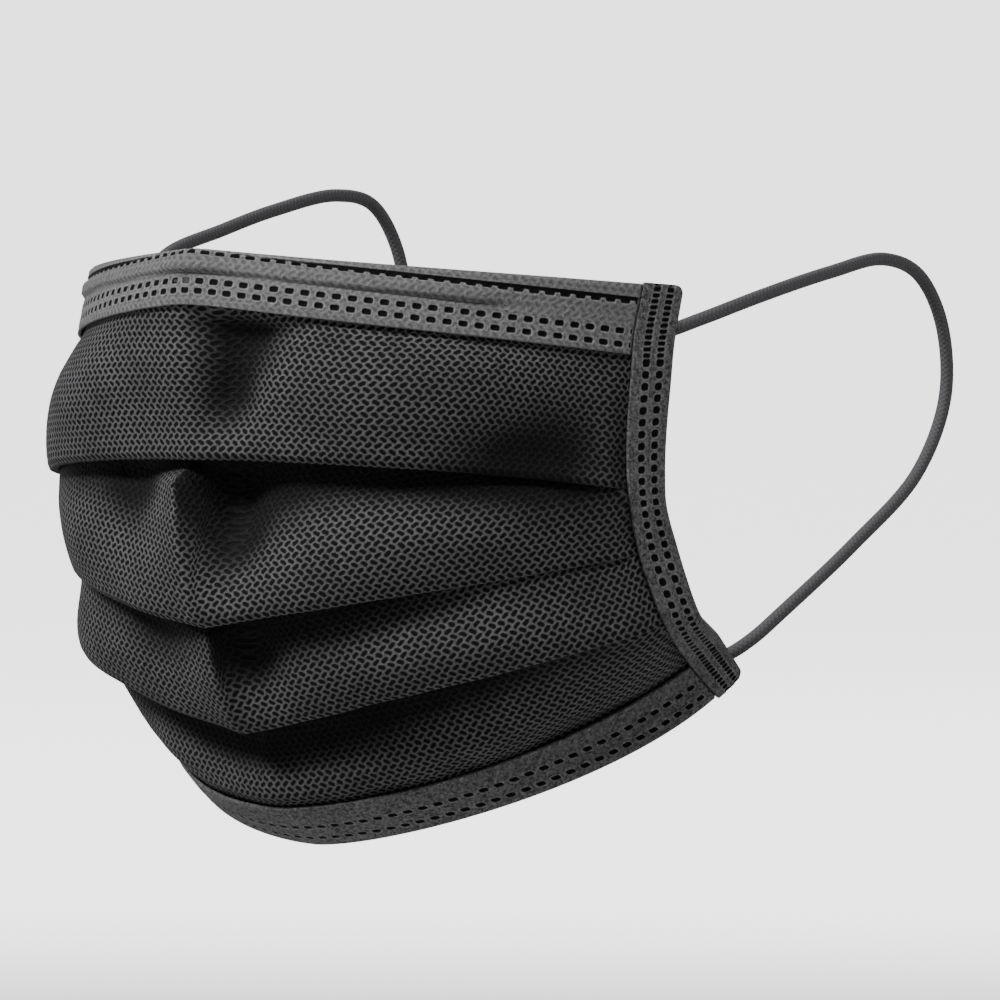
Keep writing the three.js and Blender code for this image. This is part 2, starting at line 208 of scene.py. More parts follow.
def spline(points, steps):
    """Centripetal Catmull-Rom curve through the points, with so many steps to each span."""
    ends = 2 * points[:1] - points[1:2], 2 * points[-1:] - points[-2:-1]
    p = np.concatenate([ends[0], points, ends[1]])
    gap = np.sqrt(np.maximum(np.linalg.norm(np.diff(p, axis=0), axis=-1), 1e-4))[..., None]
    p0, p1, p2, p3 = (p[k:len(p) - 3 + k][:, None] for k in range(4))
    d0, d1, d2 = (gap[k:len(gap) - 2 + k][:, None] for k in range(3))
    m1 = ((p1 - p0) / d0 - (p2 - p0) / (d0 + d1) + (p2 - p1) / d1) * d1
    m2 = ((p2 - p1) / d1 - (p3 - p1) / (d1 + d2) + (p3 - p2) / d2) * d1
    f = (np.arange(steps) / steps).reshape((1, steps) + (1,) * (points.ndim - 1))
    spans = ((2 * f ** 3 - 3 * f ** 2 + 1) * p1 + (f ** 3 - 2 * f ** 2 + f) * m1
             + (3 * f ** 2 - 2 * f ** 3) * p2 + (f ** 3 - f ** 2) * m2)
    return np.concatenate([spans.reshape((-1,) + points.shape[1:]), points[-1:]])


# ---- meshes --------------------------------------------------------------------------
def thicken(a, n, wall, left_in=0.0, right_in=0.0):
    """Both faces of a layer whose middle line is (a, n) down the first axis: the line moved
    half a wall to its left, and half a wall to its right in the other direction."""
    da, dn = np.gradient(a, axis=0), np.gradient(n, axis=0)
    long = np.maximum(np.hypot(da, dn), 1e-6)
    left, right = wall / 2 - left_in, wall / 2 - right_in
    return (
        np.concatenate([a - dn / long * left, (a + dn / long * right)[::-1]]),
        np.concatenate([n + da / long * left, (n - da / long * right)[::-1]]),
    )


def mesh_from(name, points, quads, uv, material_of=None, mark=None):
    """Mesh object from points in mm, quads, a UV in mm per point, a material number per face
    and an attribute per point, which says how far it is from a weld or how deep in a fold."""
    corners = points[quads]
    volume = np.einsum("ij,ij->i", corners[:, 0], np.cross(corners[:, 1], corners[:, 2])).sum()
    volume += np.einsum("ij,ij->i", corners[:, 0], np.cross(corners[:, 2], corners[:, 3])).sum()
    if volume < 0:
        quads = quads[:, ::-1]
    mesh = bpy.data.meshes.new(name)
    mesh.from_pydata((points * MM).tolist(), [], quads.tolist())
    layer = mesh.uv_layers.new(name="cloth")
    index = np.empty(len(mesh.loops), np.int32)
    mesh.loops.foreach_get("vertex_index", index)
    layer.data.foreach_set("uv", uv[index].astype(np.float32).ravel())
    if mark is not None:
        attribute = mesh.attributes.new("mark", "FLOAT", "POINT")
        attribute.data.foreach_set("value", np.clip(mark, -1, 1).astype(np.float32).ravel())
    if material_of is not None:
        mesh.polygons.foreach_set("material_index", material_of.astype(np.int32))
    mesh.polygons.foreach_set("use_smooth", np.ones(len(mesh.polygons), bool))
    mesh.update()
    piece = bpy.data.objects.new(name, mesh)
    bpy.context.scene.collection.objects.link(piece)
    return piece


def ring_quads(rings, size):
    """Quads between equal closed rings, and the two strips that close the ends of a layer."""
    r, i = np.meshgrid(np.arange(rings - 1), np.arange(size), indexing="ij")
    a, b = r * size + i, r * size + (i + 1) % size
    skin = np.stack([a, b, b + size, a + size], axis=-1).reshape(-1, 4)
    k = np.arange(size // 2 - 1)
    cap = np.stack([k, size - 1 - k, size - 2 - k, k + 1], axis=-1)
    return skin, np.concatenate([cap, cap[:, ::-1] + (rings - 1) * size])


def layer_piece(name, a, n, length, along, to_point, mark, inner_face=False):
    """Closed layer: its section (a, n) down the first axis, its stations along the second. Its
    UV is (along, length), its mark is given for both faces, and its second face can have a
    second material."""
    size, rings = a.shape
    points = to_point(a, n).transpose(1, 0, 2).reshape(-1, 3)
    skin, caps = ring_quads(rings, size)
    if along.ndim == 2:
        along = np.concatenate([along, along[::-1]])
    uv = np.stack([np.broadcast_to(along, a.shape), np.concatenate([length, length[::-1]])], -1)
    uv = uv.transpose(1, 0, 2).reshape(-1, 2)
    material = None
    if inner_face:
        material = np.concatenate([(skin[:, 0] % size) >= size // 2, np.zeros(len(caps), bool)])
    return mesh_from(name, points, np.concatenate([skin, caps]), uv, material, mark.T)


# ---- materials -----------------------------------------------------------------------
def linear(hex_colour):
    """Linear RGBA of an sRGB hex colour such as 48484a."""
    parts = [int(hex_colour[k:k + 2], 16) / 255 for k in (0, 2, 4)]
    return [c / 12.92 if c <= 0.04045 else ((c + 0.055) / 1.055) ** 2.4 for c in parts] + [1.0]


def add(tree, kind, inputs=(), **settings):
    """Adds a node with its settings. Its inputs are given in order, or by name or number, and
    each is a value, an output, or a node, for the first output that its settings leave on."""
    node = tree.nodes.new("ShaderNode" + kind)
    for name, value in settings.items():
        setattr(node, name, value)
    for key, value in dict(inputs if isinstance(inputs, dict) else enumerate(inputs)).items():
        if isinstance(value, bpy.types.Node):
            value = next(output for output in value.outputs if output.enabled)
        if isinstance(value, bpy.types.NodeSocket):
            tree.links.new(value, node.inputs[key])
        else:
            node.inputs[key].default_value = value
    return node


def new_material(name):
    """Empty material and its node tree."""
    material = bpy.data.materials.new(name)
    material.use_nodes = True
    material.node_tree.nodes.clear()
    return material, material.node_tree


def end_material(tree, inputs, height=None, relief=0.0):
    """Ends a material: a Principled shader with these inputs, whose even values sit on its own
    sockets, over a bump of a height from 0 to 1 that stands `relief` metres out."""
    if height is not None:
        inputs["Normal"] = add(tree, "Bump", {
            "Height": height, "Distance": relief, "Strength": 1.0})
    add(tree, "OutputMaterial", {"Surface": add(tree, "BsdfPrincipled", inputs)})


def herringbone(tree, across, down, rim, floor):
    """Share of an embossed slot at each place, from 0 at `rim` to 1 at `floor` mm off the
    slot's middle line. Rows of slots lie `down` mm apart, with a slot every `across` mm. Every
    other row is half a step aside and slants the other way."""
    uv = add(tree, "UVMap", uv_map="cloth")
    wobble = add(tree, "TexNoise", {"Vector": uv, "Scale": 0.9, "Detail": 2.0}).outputs["Color"]
    wobble = add(tree, "VectorMath", (wobble, (0.5, 0.5, 0.5)), operation="SUBTRACT")
    at = add(tree, "VectorMath", (wobble, (0.35, 0.35, 0.0), uv), operation="MULTIPLY_ADD")
    at = add(tree, "SeparateXYZ", (at,)).outputs
    row = add(tree, "Math", (at[1], down), operation="DIVIDE")
    odd = add(tree, "Math", (row,), operation="FLOOR")
    odd = add(tree, "Math", (odd, 2.0), operation="FLOORED_MODULO")
    step = add(tree, "Math", (at[0], across), operation="DIVIDE")
    step = add(tree, "Math", (odd, 0.5, step), operation="MULTIPLY_ADD")
    x, y = (
        add(tree, "Math", (add(tree, "Math", (
            add(tree, "Math", (count,), operation="FRACT"), 0.5), operation="SUBTRACT"), pitch,
        ), operation="MULTIPLY")
        for count, pitch in ((step, across), (row, down))
    )
    slant = math.radians(35)
    rise = add(tree, "Math", (odd, 2.0, -1.0), operation="MULTIPLY_ADD")
    rise = add(tree, "Math", (rise, math.sin(slant)), operation="MULTIPLY")
    long = add(tree, "Math", (x, math.cos(slant)), operation="MULTIPLY")
    long = add(tree, "Math", (y, rise, long), operation="MULTIPLY_ADD")
    long = add(tree, "Math", (long,), operation="ABSOLUTE")
    past = add(tree, "Math", (long, across * 0.19), operation="SUBTRACT")
    past = add(tree, "Math", (past, 0.0), operation="MAXIMUM")
    past = add(tree, "Math", (past, past), operation="MULTIPLY")
    thin = add(tree, "Math", (x, rise), operation="MULTIPLY")
    thin = add(tree, "Math", (add(tree, "Math", (y, math.cos(slant)), operation="MULTIPLY"),
                              thin), operation="SUBTRACT")
    thin = add(tree, "Math", (thin, thin), operation="MULTIPLY")
    reach = add(tree, "Math", (past, thin), operation="ADD")
    reach = add(tree, "Math", (reach,), operation="SQRT")
    return add(tree, "MapRange", (reach, rim, floor), interpolation_type="SMOOTHSTEP")


def fibres(tree, scale, stretch=(1.0, 1.0, 1.0)):
    """Tangled fibre brightness from 0 to 1, `scale` features to a metre of the object."""
    at = add(tree, "TexCoord").outputs["Object"]
    return add(tree, "TexNoise", {
        "Vector": add(tree, "Mapping", {"Vector": at, "Scale": stretch}),
        "Scale": scale, "Detail": 3.0, "Roughness": 0.6, "Distortion": 0.6})


def outer_cloth(settings):
    """Embossed polypropylene spunbond, calendered between a herringbone roll and a smooth
    one: matt threads stand up around short slots that look black. Pressed into a fold, the
    threads are glazed flat and look nearly as black."""
    material, tree = new_material("embossed_spunbond_black")
    slot = herringbone(tree, settings.slot_across / MM, settings.slot_down / MM, 0.48, 0.2)
    fine = fibres(tree, 2600)
    tone = add(tree, "Math", (
        add(tree, "MapRange", (fine, 0.3, 0.7, 0.6, 1.35)),
        add(tree, "MapRange", (fibres(tree, 90), 0.35, 0.65, 0.85, 1.12))), operation="MULTIPLY")
    deep = add(tree, "Attribute", attribute_name="mark").outputs["Fac"]
    deep = add(tree, "MapRange", (deep, 0.0, 1.0, 1.0, 0.15))
    tone = add(tree, "Math", (tone, deep), operation="MULTIPLY")
    thread = add(tree, "Mix", {0: tone, 6: linear("000000"), 7: linear(settings.thread_colour)},
                 data_type="RGBA", clamp_factor=False)
    colour = add(tree, "Mix", {0: slot, 6: thread, 7: linear(settings.slot_colour)},
                 data_type="RGBA")
    height = add(tree, "Math", (1.0, slot), operation="SUBTRACT")
    height = add(tree, "Math", (fine, 0.15, height), operation="MULTIPLY_ADD")
    end_material(tree, {"Base Color": colour, "Roughness": 0.85, "Specular IOR Level": 0.05},
                 height, 0.18 * MM)
    return material


def lining_cloth(settings):
    """Soft carded polypropylene lining: thin, even and matt, with a faint tangle of fibres."""
    material, tree = new_material("carded_lining_charcoal")
    tangle = fibres(tree, 1500, (1.0, 1.0, 0.45))
    share = add(tree, "MapRange", (tangle, 0.35, 0.65))
    colour = add(tree, "Mix", {0: share, 6: linear("1c1c1d"), 7: linear(settings.lining_colour)},
                 data_type="RGBA")
    end_material(tree, {"Base Color": colour, "Roughness": 0.9, "Specular IOR Level": 0.2},
                 tangle, 0.08 * MM)
    return material


def band_cloth(settings, name, woven):
    """Grey polypropylene band, welded by an ultrasonic wheel: mottled raised fibres, a lighter
    pucker round each weld, and dark glassy film where the wheel has melted it through."""
    material, tree = new_material(name)
    tangle = fibres(tree, 1500)
    tone = add(tree, "Math", (fibres(tree, 2900), 0.6, tangle), operation="MULTIPLY_ADD")
    tone = add(tree, "MapRange", (tone, 0.6, 1.05))
    if woven:
        slot = herringbone(tree, settings.slot_across / MM, settings.slot_down / MM, 0.5, 0.05)
        slot = add(tree, "Math", (slot, -0.5, 1.0), operation="MULTIPLY_ADD")
        tone = add(tree, "Math", (tone, 0.55, 0.45), operation="MULTIPLY_ADD")
        tone = add(tree, "Math", (tone, slot), operation="MULTIPLY")
    colour = add(tree, "Mix", {0: tone, 6: linear(settings.band_dark),
                               7: linear(settings.band_light)}, data_type="RGBA")
    near = add(tree, "Attribute", attribute_name="mark").outputs["Fac"]
    pucker = add(tree, "Math", (
        add(tree, "MapRange", (near, 0.08, 0.16, 0.0, 0.5)),
        add(tree, "MapRange", (near, 0.18, 0.4, 1.0, 0.0))), operation="MULTIPLY")
    raised = add(tree, "Math", (tangle, 1.2, 0.2), operation="MULTIPLY_ADD")
    pucker = add(tree, "Math", (pucker, raised), operation="MULTIPLY")
    colour = add(tree, "Mix", {0: pucker, 6: colour, 7: linear(settings.pucker_colour)},
                 data_type="RGBA")
    melted = add(tree, "MapRange", (near, 0.1, -0.02))
    colour = add(tree, "Mix", {0: melted, 6: colour, 7: linear(settings.weld_colour)},
                 data_type="RGBA")
    end_material(tree, {"Base Color": colour, "Roughness": 0.85, "Specular IOR Level": 0.1},
                 tone, 0.22 * MM)
    return material


def elastic_knit(settings):
    """Round knitted polyester elastic: matt, nearly even grey with fine stitches that cross
    every 0.9 mm of the cord, drawn coarser than the real ones so that they show."""
    material, tree = new_material("knitted_elastic_grey")
    uv = add(tree, "SeparateXYZ", (add(tree, "UVMap", uv_map="cloth"),)).outputs
    stitches = []
    for slope in (0.75, -0.75):
        phase = add(tree, "Math", (uv[0], slope, uv[1]), operation="MULTIPLY_ADD")
        phase = add(tree, "Math", (phase, 2 * math.pi / 0.9), operation="MULTIPLY")
        stitches.append(add(tree, "Math", (phase,), operation="SINE"))
    knit = add(tree, "Math", stitches, operation="ADD")
    knit = add(tree, "MapRange", (knit, -2.0, 2.0))
    colour = add(tree, "Mix", {0: knit, 6: linear(settings.knit_dark),
                               7: linear(settings.knit_light)}, data_type="RGBA")
    end_material(tree, {"Base Color": colour, "Roughness": 0.85, "Specular IOR Level": 0.1},
                 knit, 0.08 * MM)
    return material


def coated_wire():
    """Polyethylene-coated iron strip, extruded: smooth dark plastic with faint draw lines."""
    material, tree = new_material("polyethylene_coated_strip")
    lines = fibres(tree, 900, (0.05, 0.05, 1.0))
    colour = add(tree, "Mix", {0: lines, 6: linear("1e1e1f"), 7: linear("2b2b2c")},
                 data_type="RGBA")
    end_material(tree, {"Base Color": colour, "Roughness": 0.5, "Specular IOR Level": 0.5},
                 lines, 0.03 * MM)
    return material


def dressed(piece, node, slot, *materials):
    """Gives a finished piece its materials, its body, its CAD node and its slot."""
    for material in materials:
        piece.data.materials.append(material)
    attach(piece, "root")
    if node:
        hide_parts(node)
    return piece


# ---- settings ------------------------------------------------------------------------
class MaskCloth(bpy.types.PropertyGroup):
    """Sizes and colours of the pleated cloth."""

    wall: bpy.props.FloatProperty(
        name="Cloth", description="Thickness of the three plies", default=0.6 * MM,
        unit="LENGTH", precision=4)
    fit: bpy.props.FloatProperty(
        name="Fit", description="Space between layers that lie on each other",
        default=0.4 * MM, unit="LENGTH", precision=4)
    slot_across: bpy.props.FloatProperty(
        name="Slots across", description="Pitch of the embossed slots in a row",
        default=1.6 * MM, unit="LENGTH", precision=4)
    slot_down: bpy.props.FloatProperty(
        name="Slot rows", description="Pitch of the rows of slots", default=1.03 * MM,
        unit="LENGTH", precision=4)
    thread_colour: bpy.props.StringProperty(
        name="Threads", description="Hex colour of the raised threads", default="4c4c4d")
    slot_colour: bpy.props.StringProperty(
        name="Slots", description="Hex colour of the slots", default="111112")
    lining_colour: bpy.props.StringProperty(
        name="Lining", description="Hex colour of the inner face", default="333334")


class MaskBands(bpy.types.PropertyGroup):
    """Sizes and colours of the hems and side bindings."""

    binding_width: bpy.props.FloatProperty(
        name="Binding", description="Width of a side binding", default=8.2 * MM,
        unit="LENGTH", precision=4)
    slot_across: bpy.props.FloatProperty(
        name="Slots across", description="Pitch of the embossing in a row",
        default=1.6 * MM, unit="LENGTH", precision=4)
    slot_down: bpy.props.FloatProperty(
        name="Slot rows", description="Pitch of the rows of embossing", default=1.03 * MM,
        unit="LENGTH", precision=4)
    band_light: bpy.props.StringProperty(
        name="Raised fibres", description="Hex colour of raised fibres", default="707070")
    band_dark: bpy.props.StringProperty(
        name="Low fibres", description="Hex colour between the fibres", default="282828")
    pucker_colour: bpy.props.StringProperty(
        name="Pucker", description="Hex colour of the rim of a weld", default="868686")
    weld_colour: bpy.props.StringProperty(
        name="Welds", description="Hex colour of the melted film", default="070708")


class MaskLoops(bpy.types.PropertyGroup):
    """Size and colours of the ear loops."""

    diameter: bpy.props.FloatProperty(
        name="Diameter", description="Diameter of the elastic", default=2.3 * MM,
        unit="LENGTH", precision=4)
    knit_light: bpy.props.StringProperty(
        name="Raised stitches", description="Hex colour of raised stitches", default="4e4e50")
    knit_dark: bpy.props.StringProperty(
        name="Low stitches", description="Hex colour between stitches", default="404042")


class MaskStage(bpy.types.PropertyGroup):
    """Camera and studio."""

    azimuth: bpy.props.FloatProperty(
        name="Azimuth", description="Camera round the mask from straight in front",
        default=math.radians(39), subtype="ANGLE")
    elevation: bpy.props.FloatProperty(
        name="Elevation", description="Camera above the horizon", default=math.radians(1.5),
        subtype="ANGLE")
    target: bpy.props.FloatVectorProperty(
        name="Target", description="Place that the camera looks at", size=3,
        default=(0.01872, 0.06037, -0.0438), subtype="TRANSLATION")
    distance: bpy.props.FloatProperty(
        name="Distance", description="Camera to target", default=3.0, unit="LENGTH")
    view_width: bpy.props.FloatProperty(
        name="View width", description="Width of the picture at the target",
        default=0.1721, unit="LENGTH", precision=4)
    backdrop: bpy.props.FloatProperty(
        name="Backdrop", description="Brightness of the far floor and the horizon",
        default=2.6, min=0.0)
    surround: bpy.props.FloatProperty(
        name="Surround", description="Brightness of the room above the horizon",
        default=0.03, min=0.0)
    floor_drop: bpy.props.FloatProperty(
        name="Floor drop", description="Floor under the lowest point of the mask",
        default=0.06, unit="LENGTH")


# ---- pieces --------------------------------------------------------------------------
def body_line(u, wall, fit):
    """Middle line of the cloth at each u: flat under the hems, rounded out between the folds,
    and folded back up and down again at each pleat. Toward the side bindings the pleats grow
    shallow and the cloth dips under the binding. Gives (v, n) per line point and u."""
    at = row_distances(u)
    reach = np.abs(u)
    # The cloth dips in from 76 to 80 mm, and its panels round out from 8 to 72 mm.
    pressed = smooth(76, 80, reach)
    swell = smooth(8, 32, reach) * (1 - smooth(48, 72, reach))
    lay = wall + fit
    under, upper = -lay - wall / 2, -wall / 2
    zero = np.zeros_like(u)
    line = []
    lips = []

    def put(v, n, least=0.0):
        sunk = np.minimum(n, under - least)
        line.append(np.stack([v + zero, n + (sunk - n) * pressed]))

    def panel(v0, v1, depth, fill, belly, places):
        for f in places:
            n = upper - depth * (1 - smooth(0, fill, f)) + belly * swell * math.sin(math.pi * f)
            put(v0 + (v1 - v0) * f, n)

    low = at[1]
    for f in (0.14, 0.4, 0.7):
        put(low * f, under + zero)
    put(low + 0.4, under + zero)
    depth, fill, above, places = lay + zero, 0.5, low, (0.1, 0.22, 0.36, 0.56, 0.8)
    for row, tuck0, tuck1, depth0, depth1, near, far, next_fill, belly in PLEATS:
        lip = at[row]
        side = smooth(near, far, reach)
        tuck = tuck0 + (tuck1 - tuck0) * side
        panel(above, lip, depth, fill, belly, places)
        depth, fill = depth0 + (depth1 - depth0) * side, next_fill
        # Round the fold, back up behind it by the tuck, and down again farther in.
        put(lip - 0.1, upper + zero)
        lips.append(len(line))
        put(lip - 0.3, upper - 0.25 - 0.45 * depth, 0.25)
        put(lip - tuck, upper - 0.8 * depth - 0.2, 0.6)
        put(lip - tuck + 0.3, upper - depth - 0.7, 1.0)
        above, places = lip, (0.05, 0.2, 0.42, 0.72)
    high, end = at[5], at[6]
    panel(above, high, depth, fill, LAST_BELLY, (0.05, 0.2, 0.42, 0.66))
    put(high - 2.4, upper - 0.3 + zero)
    put(high - 0.4, under + zero)
    put((high + end) / 2, under + zero)
    put(end - lay - fit / 2, under + zero)
    return np.array(line), lips


def centre_fold(u, v):
    """Folds that stand out along the middle of the second and third panel, and the valleys
    beside them. Each crest falls off as exp(-distance / reach), steeper on its +X side, and
    leans toward -X at its top; each valley is a Gaussian across, fading down its panel. Gives
    the offsets and what of them is on the +X side of a crest."""
    at = row_distances(u)
    out, flank = np.zeros_like(v), np.zeros_like(v)
    for row, height, lean, valley in CENTRE_FOLDS:
        f = (v - at[row]) / (at[row + 1] - at[row])
        inside = smooth(0.02, 0.16, f) * (1 - smooth(1.0, 1.02, f))
        aside = u + lean * (1 - np.clip(f, 0, 1))
        from_crest = np.sqrt(aside ** 2 + 0.5 ** 2) - 0.5
        crest = np.exp(-from_crest / np.where(aside < 0, 9.0, 2.2))
        crest = height * inside * np.clip(1 - f, 0, 1) ** 0.8 * crest
        out += crest
        flank += crest * smooth(-0.2, 0.3, aside)
        fade = smooth(0.0, 0.08, f) * (1 - smooth(0.3, 1.0, f))
        out -= valley * fade * np.exp(-((u - 5.5) / 5.5) ** 2)
        out -= 0.4 * valley * fade * np.exp(-((u + 20) / 8) ** 2)
    f = (v - at[1]) / (at[2] - at[1])
    fade = smooth(0.0, 0.15, f) * (1 - smooth(0.6, 1.0, f))
    f = np.clip(f, 0, 1)
    return out - NOSE_VALLEY * fade * np.exp(-((u - 12 + 9 * f) / (9 - 4 * f)) ** 2), flank


def crumple(u, v):
    """Slow waves of worn cloth: four crossing sine waves, 11 to 31 mm long."""
    waves = ((31, 20, 0.1, 0.14), (19, 75, 1.9, 0.09), (14, -35, 3.3, 0.07), (11, 110, 5.2, 0.05))
    return sum(
        size * np.sin(2 * math.pi / length * (u * math.cos(math.radians(way))
                                              + v * math.sin(math.radians(way))) + start)
        for length, way, start, size in waves
    )


def cloth_grid(points, u, folds, pitch):
    """Where each point lies on the flat cloth, in mm along and across its rows. Down a column
    the step along is its part in the row's direction and the step across is the rest of it.
    Both count from the fold at the foot of each panel, so the rows run parallel to it."""
    along_row = unit(np.gradient(points, axis=1))
    step = np.diff(points, axis=0)
    part = (step * (along_row[1:] + along_row[:-1]) / 2).sum(axis=-1)
    rest = np.sqrt(np.maximum((step ** 2).sum(axis=-1) - part ** 2, 0))
    zero = np.zeros((1, len(u)))
    part = np.concatenate([zero, np.cumsum(part, axis=0)])
    rest = np.concatenate([zero, np.cumsum(rest, axis=0)])
    across, down = np.empty_like(part), np.empty_like(rest)
    start = 0
    for number, fold in enumerate(folds):
        stop = min(fold + 10, len(points)) if number < len(folds) - 1 else len(points)
        across[start:stop] = u + part[start:stop] - part[fold]
        down[start:stop] = (number + 1) * 40 * pitch + rest[start:stop] - rest[fold]
        start = stop
    return across, down


class MASK_OT_body(bpy.types.Operator):
    """Pleated cloth from edge to edge, with its lining"""

    bl_idname = "mask.body"
    bl_label = "Pleated body"

    def execute(self, context):
        cloth = context.scene.mask_cloth
        wall, fit = cloth.wall / MM, cloth.fit / MM
        reach = HALF_WIDTH - 3 * wall
        u = np.linspace(-reach, reach, 333)
        points, lips = body_line(u, wall, fit)
        steps = 4
        line = spline(points.transpose(0, 2, 1), steps)
        v, n = line[..., 0], line[..., 1]
        edge = smooth(12, 22, v) * (1 - smooth(66, 76, np.abs(u)))
        fold, flank = centre_fold(u, v)
        n = n + crumple(u, v) * edge + fold
        across, down = cloth_grid(place(np.broadcast_to(u, v.shape), v, n), u, [
            (lip - 1) * steps for lip in [*lips, len(points) - 4]], 2 * cloth.slot_down / MM)
        # Cloth deeper than 0.4 mm below the panels is in a fold, wholly from 3.6 mm on.
        depth = smooth(0.4, 3.6, hollow(u, v) - n + flank - wall / 2)
        both_v, both_n = thicken(v, n, wall)
        piece = layer_piece(
            "pleated_cloth", both_v, both_n, down, across,
            lambda v, out: place(np.broadcast_to(u, v.shape), v, out),
            np.concatenate([depth, depth[::-1]]), inner_face=True)
        dressed(piece, "mask_body", "outer_cloth", outer_cloth(cloth), lining_cloth(cloth))
        return {"FINISHED"}


HEM_PITCH = 2.75       # welds along a hem
BINDING_LAP = 8.6      # the hems have no welds this near to the side edge
WELD_DEPTH = 0.26
PUCKER_HEIGHT = 0.06


def dashes(x, y, pitch, width, height, corner):
    """Signed distance in mm to a row of rounded bars along x, centred on y = 0."""
    x = (x / pitch + 0.5) % 1.0 * pitch - pitch / 2
    qx, qy = np.abs(x) - width / 2 + corner, np.abs(y) - height / 2 + corner
    outside = np.hypot(np.maximum(qx, 0), np.maximum(qy, 0))
    return outside + np.minimum(np.maximum(qx, qy), 0) - corner


def weld_depth(near):
    """How far a weld presses the cloth in, with a low puckered rim around it, in mm."""
    rim = smooth(0.05, 0.2, near) * (1 - smooth(0.2, 0.5, near))
    return WELD_DEPTH * smooth(0.12, -0.3, near) - PUCKER_HEIGHT * rim


def upper_welds(u, v):
    """Welds of the upper hem: a row at the upper edge of the wire pocket that runs into a
    groove, and a double row along the lower edge. Their height is a share of the hem's."""
    height = row_distances(u)[1]
    reach = np.abs(u)
    pocket = height * (0.09 + 0.19 * (reach / 80) ** 0.65)
    near = dashes(u, v - pocket, HEM_PITCH, 1.65, 0.75, 0.25)
    groove = np.abs(v - pocket + 0.5) - 0.3 * smooth(8, 34, reach)
    near = np.minimum(near, np.where(reach > 8, groove, 1.0))
    for centre, side in ((0.58, 0.69), (0.75, 0.88)):
        row = height * (centre + (side - centre) * reach / 78)
        near = np.minimum(near, dashes(u, v - row, HEM_PITCH, 1.5, 0.95, 0.3))
    return near


def lower_welds(u, v):
    """Welds of the lower hem: two rows, one weld under the other."""
    at = row_distances(u)
    down = v - at[5]
    height = at[6] - at[5]
    near = dashes(u, down - height * 0.43, HEM_PITCH, 1.45, 0.9, 0.3)
    return np.minimum(near, dashes(u, down - height * 0.735, HEM_PITCH, 1.45, 0.9, 0.3))


def upper_hem_line(u, wall, fit):
    """Section of the upper hem: up the outer leg, over the swelling of the nose wire, round
    the top edge and down the inner leg."""
    low = row_distances(u)[1]
    reach = np.abs(u)
    share = np.linspace(0, 1, 37)[:, None]
    v = low * (1 - share) + 0.9 * share
    top = low * (0.09 + 0.19 * (reach / 80) ** 0.65) + 0.75
    bottom = low * (0.41 + 0.06 * np.minimum(reach / 50, 1))
    swell = 0.75 * (1 - smooth(50.5, 58, reach)) + 0.6 * np.exp(-(reach / 8) ** 2)
    n = -wall / 2 + swell * (smooth(top - 0.6, top + 0.3, v) - smooth(bottom - 0.5, bottom + 0.2, v))
    n = n - 0.22 * np.exp(-((v - bottom - 0.3) / 0.3) ** 2) * (1 - smooth(52, 70, reach))
    leg = -wall / 2 - 2 * (wall + fit)
    ones = np.ones_like(u)
    turn = [(0.55, -wall / 2 - 0.25), (0.4, -wall / 2 - 0.7), (0.45, leg + 0.7), (0.7, leg + 0.25)]
    turn += [(1.2 + 0.76 * k, leg) for k in range(6)]
    v = np.concatenate([v, np.array([a * ones for a, _ in turn])])
    return v, np.concatenate([n, np.array([b * ones for _, b in turn])])


def lower_hem_line(u, wall, fit):
    """Section of the lower hem: down the outer leg, round the bottom edge, up the inner leg."""
    at = row_distances(u)
    high, end = at[5], at[6]
    share = np.linspace(0, 1, 44)[:, None]
    v = high * (1 - share) + (end - 0.9) * share
    n = np.full_like(v, -wall / 2)
    leg = -wall / 2 - 2 * (wall + fit)
    turn = [(0.6, -wall / 2 - 0.2), (0.45, -wall / 2 - 0.7), (0.45, leg + 0.7), (0.7, leg + 0.25)]
    turn += [(1.2 + 0.76 * k, leg) for k in range(6)]
    v = np.concatenate([v, np.array([end - a for a, _ in turn])])
    return v, np.concatenate([n, np.array([b * np.ones_like(u) for _, b in turn])])


def hem_piece(name, u, v, n, wall, welds, right_side):
    """Closed hem with its welds pressed into the face that shows, right or left of the line."""
    near = np.where(np.abs(u) < HALF_WIDTH - BINDING_LAP, welds(np.broadcast_to(u, v.shape), v), 1.0)
    pressed = weld_depth(near)
    middle = -wall / 2 - (wall + 0.4)
    n = middle + (n - middle) * (1 - 0.6 * smooth(79.2, 80.0, np.abs(u)))
    length = np.concatenate([np.zeros((1, len(u))), np.cumsum(
        np.hypot(np.diff(v, axis=0), np.diff(n, axis=0)), axis=0)])
    if right_side:
        both_v, both_n = thicken(v, n, wall, right_in=pressed)
        mark = np.concatenate([np.ones_like(near), near[::-1]])
    else:
        both_v, both_n = thicken(v, n, wall, left_in=pressed)
        mark = np.concatenate([near, np.ones_like(near)])
    return layer_piece(
        name, both_v, both_n, length, u,
        lambda down, out: place(np.broadcast_to(u, down.shape), down, out), mark)


class MASK_OT_hems(bpy.types.Operator):
    """Upper and lower hem with their welds"""

    bl_idname = "mask.hems"
    bl_label = "Hems"

    def execute(self, context):
        bands, cloth = context.scene.mask_bands, context.scene.mask_cloth
        wall, fit = cloth.wall / MM, cloth.fit / MM
        inner = HALF_WIDTH - bands.binding_width / MM
        u = np.linspace(-inner - 3, inner + 3, 661)
        upper = hem_piece("upper_hem", u, *upper_hem_line(u, wall, fit), wall, upper_welds, True)
        dressed(upper, "top_hem", "edge_band", band_cloth(bands, "embossed_band_grey", True))
        lower = hem_piece("lower_hem", u, *lower_hem_line(u, wall, fit), wall, lower_welds, False)
        dressed(lower, "bottom_hem", "edge_band", band_cloth(bands, "fibrous_band_grey", False))
        return {"FINISHED"}


